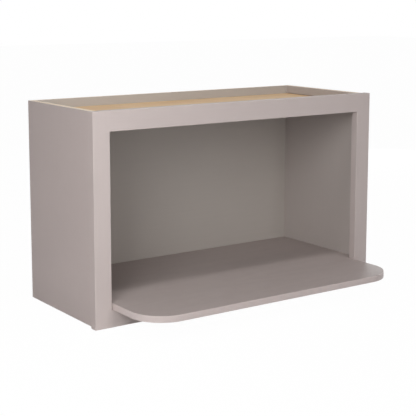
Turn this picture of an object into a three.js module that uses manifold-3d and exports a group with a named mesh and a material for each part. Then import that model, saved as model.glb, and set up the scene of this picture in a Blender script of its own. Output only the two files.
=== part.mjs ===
// A face-frame wall cabinet with an open bay and a deep, round-cornered microwave shelf.
// Millimetres, +Z up, +X to the right as seen from the front, and +Y towards the wall.
// Pieces are described with Y = 0 on the front of the face frame and Z = 0 under it. The
// whole cabinet is then moved so that the origin lies under the middle of its outer box.
import * as THREE from "three";
import { mergeVertices } from "three/addons/utils/BufferGeometryUtils.js";
import Module from "manifold-3d";

const wasm = await Module();
wasm.setup();

// ---- Driving dimensions ----
const WIDTH = 762; // across the face frame, 30 in
const HEIGHT = 457.2; // of the face frame, 18 in
const DEPTH = 304.8; // front of the face frame to the wall, 12 in
const FRAME_T = 19.05; // thickness of the face frame's timber
const STILE_W = 39.5; // width of the upright frame members
const TOP_RAIL_H = 43; // height of the upper cross member
const BOTTOM_RAIL_H = 38; // height of the lower cross member
const OVERHANG = 4.8; // the frame stands out past the side panels
const SIDE_T = 15; // side panel thickness
const SIDE_BOTTOM = 1.5; // the sides stop this far above the frame's lower edge
const SIDE_TOP = HEIGHT - 1; // and this far below its upper edge
const BACK_T = 9.5; // back panel thickness
const TOP_T = 12.7; // top panel thickness
const TOP_RECESS = 20; // the top panel lies this far below the side panels' top edges
const SHELF_T = 14; // shelf board thickness
const SHELF_DEPTH = 444.5; // from the back panel to the shelf's front edge, 17.5 in
const SHELF_CORNER_R = 76; // radius of the shelf's two front corners
const EDGE_BAND_T = 1; // glued strip round the shelf's exposed edge
const HANGING_RAIL_T = 12.7; // thickness of the rails that take the wall screws
const UPPER_RAIL_H = 50; // height of the upper one
const CLEAT_SIZE = 19; // square strips that carry the shelf along both sides
const BLOCK_LEG = 40; // legs of the three-cornered glue blocks
const BLOCK_H = 16; // their height

// ---- Joinery ----
const GAP = 0.3; // glue line, or clearance between touching pieces
const FRAME_JOINT_GAP = 0.2; // hairline between a rail and a stile
const STILE_GROOVE = 6; // depth of the groove that holds a side panel's front edge
const DADO = 6; // depth of the side panels' grooves for the top panel
const RABBET = 8; // width of the step in the side panels that holds the back panel
const SHELF_SIDE_GAP = 1.6; // between the shelf and the stiles that it passes
const SHELF_NOTCH_GAP = 2.5; // between the shelf's shoulders and the backs of the stiles
const CUT = 5; // how far a cutter runs past the surface it leaves by
const CORNER_STEPS = 14; // flats in each rounded corner of the shelf

// ---- Places worked out from the dimensions ----
const FRAME_X = WIDTH / 2;
const SIDE_OUT_X = FRAME_X - OVERHANG;
const SIDE_IN_X = SIDE_OUT_X - SIDE_T;
const OPENING_X = FRAME_X - STILE_W;
const BACK_Y = DEPTH - BACK_T; // the back panel's inner face
const TOP_RAIL_Z = HEIGHT - TOP_RAIL_H;
const TOP_Z = SIDE_TOP - TOP_RECESS; // the top panel's upper face
const SHELF_Z = BOTTOM_RAIL_H + GAP; // the shelf's under face
const SHELF_TOP_Z = SHELF_Z + SHELF_T;
const SHELF_X = OPENING_X - SHELF_SIDE_GAP;
const SHELF_WIDE_X = SIDE_IN_X - GAP; // behind the stiles, between the side panels
const SHELF_BACK_Y = BACK_Y - GAP;
const SHELF_FRONT_Y = SHELF_BACK_Y - SHELF_DEPTH;
const SHOULDER_Y = FRAME_T + SHELF_NOTCH_GAP; // where the shelf widens behind the stiles
const RAIL_BACK_Y = BACK_Y - GAP; // back faces of the hanging rails
const RAIL_FRONT_Y = RAIL_BACK_Y - HANGING_RAIL_T;
const UPPER_RAIL_TOP = TOP_Z - TOP_T - GAP;
const CLEAT_OUT_X = SIDE_IN_X - GAP;
const CLEAT_IN_X = CLEAT_OUT_X - CLEAT_SIZE;
const CLEAT_Z = BOTTOM_RAIL_H - CLEAT_SIZE;
const BLOCK_Z = TOP_Z + GAP;
const MIDDLE_Y = (DEPTH + SHELF_FRONT_Y) / 2; // middle of the outer box, front to back
const SIDES = [
  { name: "left", sign: -1 },
  { name: "right", sign: 1 },
];

// ---- Screws ----
// A head's outline runs from its rim down to the shank, as radius and depth below its top.
const FLAT_HEAD = { outline: [[3.8, 0], [1.75, 2.6]], socket: 1.3 };
const PAN_HEAD = { outline: [[4.5, 0], [4.5, 2.4], [1.95, 2.4]], socket: 1.6 };
const SOCKET_DEPTH = 1.6;
const SCREW_SIDES = 8;
const SCREW_TIP = 4; // length of the pointed end
const HEAD_SINK = 0.2; // flat heads lie this far below the surface
const BITE = 0.7; // share of the last board's thickness that a screw's point reaches
const EDGE_BITE = 22; // reach of the back's screws into the edge of a board
const POCKET_TILT = THREE.MathUtils.degToRad(15);
const POCKET_LENGTH = 40; // drilled pocket behind a pocket screw's head
const POCKET_SEAT = 19; // from the rail's end back to the screw's seat
const POCKET_SCREW = 31; // length of a pocket screw
const RAIL_COUNTERBORE = 12; // depth of the holes under the bottom rail
const BLOCK_SCREW_INSET = 12; // from the two walls that a corner block is glued to
const TOP_RAIL_SCREW_Z = [TOP_RAIL_Z + 11, TOP_RAIL_Z + 32];
const BOTTOM_RAIL_SCREW_Z = [10, 28];
const SHELF_SCREW_X = [-230, 0, 230];
const CLEAT_SIDE_SCREW_Y = [60, 245];
const CLEAT_SHELF_SCREW_Y = [95, 210];
const BACK_SCREW_X = [-240, 0, 240];
const BACK_SIDE_SCREW_Z = [90, 230, 370];

// ---- Finishes ----
const finish = (color, roughness, metalness = 0) => () =>
  new THREE.MeshStandardMaterial({ color, roughness, metalness });
const taupePaint = finish(0xb3a7a3, 0.5);
const edgeBandPaint = finish(0xbcaeaa, 0.42);
const maplePly = finish(0xd8b684, 0.62);
const rawBirch = finish(0xdcc39c, 0.72);
const zincSteel = finish(0xb9bcc0, 0.35, 0.9);

// ---- Solids ----
const between = (a, b) => [Math.min(a, b), Math.max(a, b)];

// A straight-edged board, from its spans along X, Y and Z.
function board([x0, x1], [y0, y1], [z0, z1]) {
  const box = new THREE.BoxGeometry(x1 - x0, y1 - y0, z1 - z0);
  return box.translate((x0 + x1) / 2, (y0 + y1) / 2, (z0 + z1) / 2);
}

// An upright prism of an outline in X and Y.
function prism(shape, [z0, z1]) {
  const solid = new THREE.ExtrudeGeometry(shape, {
    depth: z1 - z0,
    bevelEnabled: false,
    curveSegments: CORNER_STEPS,
  });
  return solid.translate(0, 0, z0);
}

function toSolid(geometry) {
  const bare = geometry.clone();
  bare.deleteAttribute("normal");
  bare.deleteAttribute("uv");
  const merged = mergeVertices(bare, 1e-4);
  return new wasm.Manifold(
    new wasm.Mesh({
      numProp: 3,
      vertProperties: new Float32Array(merged.attributes.position.array),
      triVerts: new Uint32Array(merged.index.array),
    }),
  );
}

function toGeometry(solid) {
  const mesh = solid.getMesh();
  const geometry = new THREE.BufferGeometry();
  geometry.setAttribute("position", new THREE.BufferAttribute(mesh.vertProperties, 3));
  geometry.setIndex(new THREE.BufferAttribute(mesh.triVerts, 1));
  geometry.computeVertexNormals();
  return geometry;
}

function cutAway(geometry, cutters) {
  let solid = toSolid(geometry);
  for (const cutter of cutters) {
    solid = solid.subtract(toSolid(cutter));
  }
  return toGeometry(solid);
}

const boxOf = (geometry) =>
  new THREE.Box3().setFromBufferAttribute(geometry.attributes.position);

// A turned solid, from points of radius against distance along its axis.
function turned(profile, at, along) {
  const points = profile.map(([radius, distance]) => new THREE.Vector2(radius, distance));
  const solid = new THREE.LatheGeometry(points, SCREW_SIDES);
  const turn = new THREE.Quaternion().setFromUnitVectors(new THREE.Vector3(0, 1, 0), along);
  return solid.applyQuaternion(turn).translate(at.x, at.y, at.z);
}

// ---- Screws and their holes ----
const shankOf = (kind) => kind.outline.at(-1)[0];

const screwProfile = (kind, length) => [
  [0, SOCKET_DEPTH],
  [kind.socket, SOCKET_DEPTH],
  [kind.socket, 0],
  ...kind.outline,
  [shankOf(kind), length - SCREW_TIP],
  [0, length],
];

// The hole that a screw needs: its own shape with clearance, and open behind the head.
function holeProfile(kind, length, openLength) {
  const [[head], ...below] = kind.outline;
  return [
    [0, -openLength],
    [head + GAP, -openLength],
    [head + GAP, 0],
    ...below.map(([radius, depth]) => [radius + GAP, depth + GAP]),
    [shankOf(kind) + GAP, length + GAP],
    [0, length + GAP],
  ];
}

const screws = [];

function addScrew(name, kind, length, at, along, openLength = CUT) {
  const point = new THREE.Vector3(...at);
  const way = new THREE.Vector3(...along).normalize();
  screws.push({
    name,
    solid: turned(screwProfile(kind, length), point, way),
    hole: turned(holeProfile(kind, length, openLength), point, way),
  });
}

// Pocket screws draw each rail's end tight against a stile: two to a joint, from behind.
function addFrameScrews() {
  const joints = [
    { rail: "top", levels: TOP_RAIL_SCREW_Z },
    { rail: "bottom", levels: BOTTOM_RAIL_SCREW_Z },
  ];
  const back = Math.cos(POCKET_TILT) * POCKET_SEAT;
  const rise = Math.sin(POCKET_TILT) * POCKET_SEAT;
  for (const { name, sign } of SIDES) {
    const along = [sign * Math.cos(POCKET_TILT), -Math.sin(POCKET_TILT), 0];
    for (const { rail, levels } of joints) {
      levels.forEach((z, i) => {
        const at = [sign * (OPENING_X - back), FRAME_T / 2 + rise, z];
        const screw = `frame_screw_${rail}_${name}_${i + 1}`;
        addScrew(screw, PAN_HEAD, POCKET_SCREW, at, along, POCKET_LENGTH);
      });
    }
  }
}

// Counterbored screws run up through the bottom rail into the shelf.
function addShelfScrews() {
  const length = BOTTOM_RAIL_H - RAIL_COUNTERBORE + SHELF_T * BITE;
  const openLength = RAIL_COUNTERBORE + CUT;
  SHELF_SCREW_X.forEach((x, i) => {
    const at = [x, FRAME_T / 2, RAIL_COUNTERBORE];
    addScrew(`shelf_screw_${i + 1}`, PAN_HEAD, length, at, [0, 0, 1], openLength);
  });
}

// Each cleat is screwed outwards to its side panel and upwards into the shelf.
function addCleatScrews() {
  const outLength = CLEAT_SIZE + SIDE_T * BITE;
  const upLength = CLEAT_SIZE + SHELF_T * BITE;
  for (const { name, sign } of SIDES) {
    CLEAT_SIDE_SCREW_Y.forEach((y, i) => {
      const at = [sign * (CLEAT_IN_X + HEAD_SINK), y, CLEAT_Z + CLEAT_SIZE / 2];
      addScrew(`${name}_cleat_side_screw_${i + 1}`, FLAT_HEAD, outLength, at, [sign, 0, 0]);
    });
    CLEAT_SHELF_SCREW_Y.forEach((y, i) => {
      const at = [sign * (CLEAT_IN_X + CLEAT_SIZE / 2), y, CLEAT_Z + HEAD_SINK];
      addScrew(`${name}_cleat_shelf_screw_${i + 1}`, FLAT_HEAD, upLength, at, [0, 0, 1]);
    });
  }
}

function addBlockScrews() {
  const length = BLOCK_H + TOP_T * BITE;
  const y = FRAME_T + BLOCK_SCREW_INSET;
  const z = BLOCK_Z + BLOCK_H - HEAD_SINK;
  for (const { name, sign } of SIDES) {
    const at = [sign * (SIDE_IN_X - BLOCK_SCREW_INSET), y, z];
    addScrew(`${name}_corner_block_screw`, FLAT_HEAD, length, at, [0, 0, -1]);
  }
}

// The back panel is screwed to the sides, top, shelf and both hanging rails.
function addBackScrews() {
  const intoEdge = BACK_T + EDGE_BITE;
  const intoRail = BACK_T + HANGING_RAIL_T * BITE;
  const headY = DEPTH - HEAD_SINK;
  const rows = [
    { name: "back_top_screw", z: TOP_Z - TOP_T / 2, length: intoEdge },
    { name: "upper_rail_screw", z: UPPER_RAIL_TOP - UPPER_RAIL_H / 2, length: intoRail },
    { name: "back_shelf_screw", z: SHELF_Z + SHELF_T / 2, length: intoEdge },
    { name: "lower_rail_screw", z: BOTTOM_RAIL_H / 2, length: intoRail },
  ];
  for (const { name, z, length } of rows) {
    BACK_SCREW_X.forEach((x, i) => {
      addScrew(`${name}_${i + 1}`, FLAT_HEAD, length, [x, headY, z], [0, -1, 0]);
    });
  }
  for (const { name, sign } of SIDES) {
    BACK_SIDE_SCREW_Z.forEach((z, i) => {
      const at = [sign * (SIDE_IN_X + RABBET / 2), headY, z];
      addScrew(`back_${name}_screw_${i + 1}`, FLAT_HEAD, intoEdge, at, [0, -1, 0]);
    });
  }
}

addFrameScrews();
addShelfScrews();
addCleatScrews();
addBlockScrews();
addBackScrews();

// Cuts a piece's own joints, and then the hole of every screw that reaches it.
function joined(geometry, cutters = []) {
  const box = boxOf(geometry);
  const reaching = screws.filter((screw) => boxOf(screw.hole).intersectsBox(box));
  return cutAway(geometry, [...cutters, ...reaching.map((screw) => screw.hole)]);
}

// ---- Carcase ----
function sidePanel(sign) {
  const body = board(
    between(sign * SIDE_IN_X, sign * SIDE_OUT_X),
    [FRAME_T - STILE_GROOVE + GAP, DEPTH],
    [SIDE_BOTTOM, SIDE_TOP],
  );
  const topDado = board(
    between(sign * (SIDE_IN_X - CUT), sign * (SIDE_IN_X + DADO)),
    [-CUT, DEPTH + CUT],
    [TOP_Z - TOP_T - GAP, TOP_Z + GAP],
  );
  const backRabbet = board(
    between(sign * (SIDE_IN_X - CUT), sign * (SIDE_IN_X + RABBET)),
    [BACK_Y - GAP, DEPTH + CUT],
    [-CUT, HEIGHT + CUT],
  );
  return joined(body, [topDado, backRabbet]);
}

function topPanel() {
  const halfWidth = SIDE_IN_X + DADO - GAP;
  const depth = [FRAME_T + GAP, SHELF_BACK_Y - GAP];
  return joined(board([-halfWidth, halfWidth], depth, [TOP_Z - TOP_T, TOP_Z]));
}

function backPanel() {
  const halfWidth = SIDE_IN_X + RABBET - GAP;
  return joined(board([-halfWidth, halfWidth], [BACK_Y, DEPTH], [SIDE_BOTTOM, SIDE_TOP]));
}

function hangingRail(z0, z1) {
  const halfWidth = SIDE_IN_X - GAP;
  return joined(board([-halfWidth, halfWidth], [RAIL_FRONT_Y, RAIL_BACK_Y], [z0, z1]));
}

// A three-cornered block glued into the corner behind the frame, on the top panel.
function cornerBlock(sign) {
  const x = sign * (SIDE_IN_X - GAP);
  const y = FRAME_T + GAP;
  const shape = new THREE.Shape([
    new THREE.Vector2(x, y),
    new THREE.Vector2(x, y + BLOCK_LEG),
    new THREE.Vector2(x - sign * BLOCK_LEG, y),
  ]);
  return joined(prism(shape, [BLOCK_Z, BLOCK_Z + BLOCK_H]));
}

// ---- Face frame ----
function stile(sign) {
  const width = between(sign * OPENING_X, sign * FRAME_X);
  const groove = board(
    between(sign * (SIDE_IN_X - GAP), sign * (SIDE_OUT_X + GAP)),
    [FRAME_T - STILE_GROOVE, FRAME_T + CUT],
    [-CUT, HEIGHT + CUT],
  );
  return joined(board(width, [0, FRAME_T], [0, HEIGHT]), [groove]);
}

function frameRail(z0, z1) {
  const halfLength = OPENING_X - FRAME_JOINT_GAP;
  return joined(board([-halfLength, halfLength], [0, FRAME_T], [z0, z1]));
}

// ---- Microwave shelf ----
// The shelf's outline, drawn in by an inset: straight sides, round front corners and, with
// shoulders, the wider part behind the stiles that lies on the cleats.
function shelfShape(inset, backY, shoulders) {
  const halfWidth = SHELF_X - inset;
  const frontY = SHELF_FRONT_Y + inset;
  const radius = SHELF_CORNER_R - inset;
  const shape = new THREE.Shape();
  shape.moveTo(-halfWidth, backY);
  shape.lineTo(-halfWidth, frontY + radius);
  shape.absarc(radius - halfWidth, frontY + radius, radius, Math.PI, Math.PI * 1.5, false);
  shape.lineTo(halfWidth - radius, frontY);
  shape.absarc(halfWidth - radius, frontY + radius, radius, Math.PI * 1.5, Math.PI * 2, false);
  shape.lineTo(halfWidth, backY);
  if (shoulders) {
    shape.lineTo(SHELF_WIDE_X, backY);
    shape.lineTo(SHELF_WIDE_X, SHELF_BACK_Y);
    shape.lineTo(-SHELF_WIDE_X, SHELF_BACK_Y);
    shape.lineTo(-SHELF_WIDE_X, backY);
  }
  return shape;
}

function shelfBoard() {
  const shape = shelfShape(EDGE_BAND_T + GAP, SHOULDER_Y, true);
  return joined(prism(shape, [SHELF_Z, SHELF_TOP_Z]));
}

// The band is a strip of even thickness along the shelf's sides and rounded front.
function shelfEdgeBand() {
  const outer = shelfShape(0, SHOULDER_Y - GAP, false);
  const inner = shelfShape(EDGE_BAND_T, SHOULDER_Y + CUT, false);
  const hollow = prism(inner, [SHELF_Z - CUT, SHELF_TOP_Z + CUT]);
  return cutAway(prism(outer, [SHELF_Z, SHELF_TOP_Z]), [hollow]);
}

function shelfCleat(sign) {
  const width = between(sign * CLEAT_IN_X, sign * CLEAT_OUT_X);
  const depth = [FRAME_T + GAP, RAIL_FRONT_Y - GAP];
  return joined(board(width, depth, [CLEAT_Z, BOTTOM_RAIL_H]));
}

// ---- Assembly ----
const cabinet = new THREE.Group();
cabinet.position.y = -MIDDLE_Y;

// Adds pieces, given as name, geometry and finish, each with its origin in its middle.
function subAssembly(pieces) {
  const group = new THREE.Group();
  for (const [name, geometry, makeFinish] of pieces) {
    const middle = boxOf(geometry).getCenter(new THREE.Vector3());
    const mesh = new THREE.Mesh(
      geometry.translate(-middle.x, -middle.y, -middle.z),
      makeFinish(),
    );
    mesh.name = name;
    mesh.position.copy(middle);
    group.add(mesh);
  }
  cabinet.add(group);
}

const onBothSides = (suffix, build, makeFinish) =>
  SIDES.map(({ name, sign }) => [`${name}_${suffix}`, build(sign), makeFinish]);

const upperRail = hangingRail(UPPER_RAIL_TOP - UPPER_RAIL_H, UPPER_RAIL_TOP);
const lowerRail = hangingRail(SIDE_BOTTOM + GAP, BOTTOM_RAIL_H);

subAssembly([
  ...onBothSides("side_panel", sidePanel, taupePaint),
  ["top_panel", topPanel(), maplePly],
  ["back_panel", backPanel(), taupePaint],
  ["upper_hanging_rail", upperRail, taupePaint],
  ["lower_hanging_rail", lowerRail, rawBirch],
  ...onBothSides("corner_block", cornerBlock, rawBirch),
]);
subAssembly([
  ...onBothSides("stile", stile, taupePaint),
  ["top_rail", frameRail(TOP_RAIL_Z, HEIGHT), taupePaint],
  ["bottom_rail", frameRail(0, BOTTOM_RAIL_H), taupePaint],
]);
subAssembly([
  ["microwave_shelf", shelfBoard(), taupePaint],
  ["shelf_edge_band", shelfEdgeBand(), edgeBandPaint],
  ...onBothSides("shelf_cleat", shelfCleat, rawBirch),
]);
subAssembly(screws.map((screw) => [screw.name, screw.solid, zincSteel]));

export default cabinet;
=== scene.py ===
"""Looks of an open face-frame microwave cabinet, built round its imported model.

Everything is in metres with +Z up. The front of the cabinet faces -Y and its back, which
goes against the wall, faces +Y. Every board is made again with eased edges, grooves
and drilled holes in the place of its solid, and the screws get cross recesses and threads.
"""

import logging
import math
from collections.abc import Iterable, Sequence
from dataclasses import dataclass, field
from enum import Enum, IntEnum

import bmesh
import bpy
from mathutils import Matrix, Vector


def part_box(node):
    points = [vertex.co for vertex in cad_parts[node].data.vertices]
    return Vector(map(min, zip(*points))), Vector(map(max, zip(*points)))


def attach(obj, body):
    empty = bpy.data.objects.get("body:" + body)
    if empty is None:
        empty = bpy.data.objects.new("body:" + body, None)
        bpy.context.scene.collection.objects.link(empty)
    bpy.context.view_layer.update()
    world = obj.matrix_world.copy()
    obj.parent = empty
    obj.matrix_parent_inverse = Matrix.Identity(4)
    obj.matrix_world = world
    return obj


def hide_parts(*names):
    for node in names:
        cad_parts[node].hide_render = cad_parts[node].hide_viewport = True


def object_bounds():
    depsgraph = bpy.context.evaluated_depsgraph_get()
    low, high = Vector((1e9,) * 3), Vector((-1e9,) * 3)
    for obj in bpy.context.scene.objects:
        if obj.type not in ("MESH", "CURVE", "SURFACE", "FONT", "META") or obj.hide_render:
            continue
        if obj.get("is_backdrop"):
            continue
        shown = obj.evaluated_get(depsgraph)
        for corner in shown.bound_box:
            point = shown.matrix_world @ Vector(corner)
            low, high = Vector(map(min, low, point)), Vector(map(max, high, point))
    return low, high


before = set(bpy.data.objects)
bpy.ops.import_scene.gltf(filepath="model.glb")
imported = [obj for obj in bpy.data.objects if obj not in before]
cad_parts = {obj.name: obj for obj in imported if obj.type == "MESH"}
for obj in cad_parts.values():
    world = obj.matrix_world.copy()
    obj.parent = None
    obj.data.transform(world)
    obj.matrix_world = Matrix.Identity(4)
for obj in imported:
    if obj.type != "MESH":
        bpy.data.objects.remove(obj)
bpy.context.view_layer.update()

LOG = logging.getLogger("microwave_cabinet")
MM = 0.001
BODY = "root"
WHITE = (1.0, 1.0, 1.0, 1.0)
LEFTWARD, RIGHTWARD = (-1, 0, 0), (1, 0, 0)
FORWARD, BACKWARD = (0, -1, 0), (0, 1, 0)
DOWN, UP = (0, 0, -1), (0, 0, 1)
DIRECTIONS = (LEFTWARD, RIGHTWARD, FORWARD, BACKWARD, DOWN, UP)
# A face looks in a direction when the cosine between its normal and the direction is above this.
FACING = 0.98

Colour = tuple[float, float, float, float]
Triple = tuple[float, float, float]
Line = Sequence[tuple[float, float]]
Box = tuple[Vector, Vector]
Socket = bpy.types.NodeSocket
Sockets = bpy.types.NodeOutputs
Node = bpy.types.Node
Tree = bpy.types.NodeTree
Finish = bpy.types.Material
Piece = bpy.types.Object
Shape = bmesh.types.BMesh


def srgb(red: int, green: int, blue: int) -> Colour:
    """Turns a screen colour into linear values.

    Args:
        red: Red from 0 to 255.
        green: Green from 0 to 255.
        blue: Blue from 0 to 255.

    Returns:
        Linear red, green and blue, and an alpha of 1.
    """

    def linear(channel: int) -> float:
        """Undoes the screen curve of one channel."""
        share = channel / 255
        return share / 12.92 if share <= 0.04045 else ((share + 0.055) / 1.055) ** 2.4

    return linear(red), linear(green), linear(blue), 1.0


def toned(colour: Colour, *factors: float) -> Colour:
    """Makes a colour lighter or darker by one factor, or by one for each channel, and keeps it below 1."""
    by = factors * 3 if len(factors) == 1 else factors
    return (*(min(channel * factor, 1.0) for channel, factor in zip(colour, by)), 1.0)


class Side(Enum):
    """The two sides of the cabinet, as seen from the front."""

    LEFT = -1
    RIGHT = 1

    @property
    def label(self) -> str:
        """The word that starts the names of this side's pieces."""
        return self.name.lower()

    @property
    def outward(self) -> Triple:
        """The direction away from the middle of the cabinet."""
        return LEFTWARD if self is Side.LEFT else RIGHTWARD

    @property
    def inward(self) -> Triple:
        """The direction towards the middle of the cabinet."""
        return RIGHTWARD if self is Side.LEFT else LEFTWARD


class Grain(Enum):
    """The direction of a board's grain, and the turn that brings it onto X."""

    ALONG_X = (0.0, 0.0, 0.0)
    ALONG_Y = (0.0, 0.0, -math.pi / 2)
    ALONG_Z = (0.0, math.pi / 2, 0.0)


class Across(IntEnum):
    """The direction in which the layers of a plywood board are stacked."""

    X = 0
    Y = 1
    Z = 2


class Zone(IntEnum):
    """The material slots of a board."""

    FACE = 0
    EDGE = 1
    BACK = 2


# ---------------------------------------------------------------------------
# Nodes
# ---------------------------------------------------------------------------


class Wiring:
    """Adds nodes to one node tree and joins them up."""

    def __init__(self, tree: Tree) -> None:
        """Keeps the tree that everything is added to."""
        self.tree = tree

    def join(self, node: Node, key: str | int, value: object) -> None:
        """Sets one input of a node, or joins another node's output to it.

        Args:
            node: The node.
            key: The input's name or index.
            value: A plain value, or another node's output.
        """
        if isinstance(value, Socket):
            self.tree.links.new(value, node.inputs[key])
        else:
            node.inputs[key].default_value = value

    def add(self, kind: str, feeds: dict | None = None, **settings: object) -> Node:
        """Adds a node, sets it up and joins its inputs.

        Args:
            kind: The node's type.
            feeds: Input name or index against a value or another node's output.
            **settings: Properties of the node itself.

        Returns:
            The new node.
        """
        node = self.tree.nodes.new(kind)
        for name, value in settings.items():
            setattr(node, name, value)
        for key, value in (feeds or {}).items():
            self.join(node, key, value)
        return node

    def math(self, operation: str, *values: object, clamp: bool = False) -> Socket:
        """Adds a Math node on numbers or sockets, and gives its result."""
        feeds = dict(enumerate(values))
        return self.add("ShaderNodeMath", feeds, operation=operation, use_clamp=clamp).outputs[0]

    def scaled(self, vector: Socket, by: Sequence[float]) -> Socket:
        """Multiplies a vector by three fixed numbers."""
        feeds = {0: vector, 1: tuple(by)}
        return self.add("ShaderNodeVectorMath", feeds, operation="MULTIPLY").outputs[0]

    def noise(self, vector: Socket, scale: object, detail: float = 2.0, roughness: float = 0.5) -> Socket:
        """Adds a Noise texture, and gives its value from 0 to 1."""
        feeds = {"Vector": vector, "Scale": scale, "Detail": detail, "Roughness": roughness}
        return self.add("ShaderNodeTexNoise", feeds).outputs[0]

    def remap(self, value: Socket, low: float, high: float, top: float = 1.0) -> Socket:
        """Maps the values from low to high smoothly onto those from 0 to top."""
        feeds = {0: value, 1: low, 2: high, 3: 0.0, 4: top}
        return self.add("ShaderNodeMapRange", feeds, interpolation_type="SMOOTHSTEP").outputs[0]

    def mix(self, share: object, first: object, second: object) -> Socket:
        """Mixes two colours, with the share of the second as a number or a socket."""
        feeds = {0: share, 6: first, 7: second}
        return self.add("ShaderNodeMix", feeds, data_type="RGBA").outputs[2]


def fresh_wiring(owner: Finish | bpy.types.World) -> Wiring:
    """Empties the nodes of a material or a world.

    Args:
        owner: The material or the world.

    Returns:
        The wiring of its node tree.
    """
    owner.use_nodes = True
    owner.node_tree.nodes.clear()
    return Wiring(owner.node_tree)


def in_scene(name: str, data: bpy.types.ID) -> Piece:
    """Makes an object and puts it into the scene.

    Args:
        name: The object's name.
        data: Its mesh, lamp or camera.

    Returns:
        The object.
    """
    made = bpy.data.objects.new(name, data)
    bpy.context.scene.collection.objects.link(made)
    return made


class Effect:
    """A shader node group with named inputs and outputs, built once."""

    def __init__(self, name: str, takes: dict[str, float], gives: Sequence[str]) -> None:
        """Makes the empty group, which also takes a vector.

        Args:
            name: The group's name.
            takes: Name of each value input against its default.
            gives: Names of the value outputs.
        """
        self.tree = bpy.data.node_groups.new(name, "ShaderNodeTree")
        face = self.tree.interface
        face.new_socket("Vector", in_out="INPUT", socket_type="NodeSocketVector")
        for title, value in takes.items():
            face.new_socket(title, in_out="INPUT", socket_type="NodeSocketFloat").default_value = value
        for title in gives:
            face.new_socket(title, in_out="OUTPUT", socket_type="NodeSocketFloat")
        self.wires = Wiring(self.tree)
        self.given = self.wires.add("NodeGroupInput").outputs
        self.results = self.wires.add("NodeGroupOutput")

    def put(self, title: str, value: Socket) -> None:
        """Joins a value to one of the group's outputs."""
        self.wires.join(self.results, title, value)

    def placed(self, wires: Wiring, feeds: dict) -> Sockets:
        """Puts the group into a material and gives its outputs."""
        return wires.add("ShaderNodeGroup", feeds, node_tree=self.tree).outputs


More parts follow.
